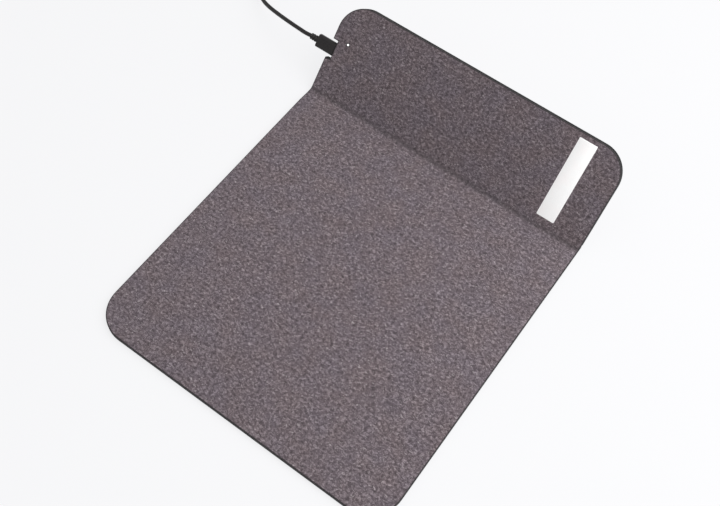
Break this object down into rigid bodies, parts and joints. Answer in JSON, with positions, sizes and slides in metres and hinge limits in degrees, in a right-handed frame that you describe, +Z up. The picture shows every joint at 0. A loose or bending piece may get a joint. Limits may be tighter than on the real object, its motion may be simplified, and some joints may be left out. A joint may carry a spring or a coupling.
{
  "type": "wireless charging desk mat",
  "caption": "Fabric desk mat whose rear strip is a wireless charging panel that folds up on a hidden leg as a phone stand, with its USB cable plugged into the left edge.",
  "frame": {"origin": "on the desk, under the middle of the footprint with the panel propped up, without the cable", "axes": "+Y from the user's edge to the back, +Z up from the desk, +X to the user's right along the fold"},
  "size_m": [0.3898, 0.3549, 0.0597],
  "materials": {
    "mat_cloth": "woven, matt",
    "fold_cloth": "woven, pressed",
    "foam": "matt",
    "base_rubber": "textured, matt",
    "shell_plastic": "fine texture",
    "label_card": "smooth",
    "copper": "enamelled wire",
    "ferrite": "matt",
    "board": "solder mask",
    "chip": "matt",
    "capacitor": "matt",
    "steel": "plain",
    "magnet": "nickel plated",
    "lens": "clear",
    "led": "diffuse",
    "foot_rubber": "matt",
    "cable_jacket": "satin",
    "tie_strap": "woven",
    "insulator": "smooth"
  },
  "bodies": {
    "mat": {"mat_fabric": "mat_cloth", "mat_core": "foam", "mat_base": "base_rubber", "fold_fabric": "fold_cloth", "fold_core": "foam", "cable_run": "cable_jacket", "cable_coil": "cable_jacket", "cable_tie": "tie_strap", "cable_tail": "cable_jacket", "far_plug_relief": "cable_jacket", "far_plug_body": "cable_jacket", "far_plug_shell": "steel", "far_plug_tongue": "insulator"},
    "panel": {"panel_fabric": "mat_cloth", "front_tray": "shell_plastic", "rear_cover": "shell_plastic", "cover_screws": "steel", "foam_filler": "foam", "label": "label_card", "transmitter_coil": "copper", "ferrite_sheet": "ferrite", "coil_leads": "copper", "thermistor": "chip", "main_board": "board", "controller_chip": "chip", "power_transistors": "chip", "resonant_capacitors": "capacitor", "filter_inductor": "ferrite", "socket_shell": "steel", "socket_tongue": "chip", "status_led": "led", "light_guide": "lens", "keeper_discs": "steel"},
    "leg": {"leg_plate": "shell_plastic", "leg_fabric": "mat_cloth", "leg_foot": "foot_rubber", "leg_pins": "steel", "leg_magnets": "magnet"},
    "usb_plug": {"plug_overmold": "cable_jacket", "plug_shell": "steel", "strain_relief": "cable_jacket"}
  },
  "joints": [
    {"name": "panel_fold", "type": "hinge", "parent": "mat", "child": "panel", "pos_m": [0, 0.08656, 0.0041], "axis": [1, 0, 0], "range_deg": [-48.5, 41.5], "deforming": ["fold_fabric", "fold_core", "cable_run"]},
    {"name": "leg_hinge", "type": "hinge", "parent": "panel", "child": "leg", "pos_m": [0, 0.13239, 0.05167], "axis": [1, 0, 0], "range_deg": [-72.6, 0]},
    {"name": "plug_pull", "type": "slide", "parent": "panel", "child": "usb_plug", "axis": [-1, 0, 0], "range_m": [0, 0.007]}
  ]
}
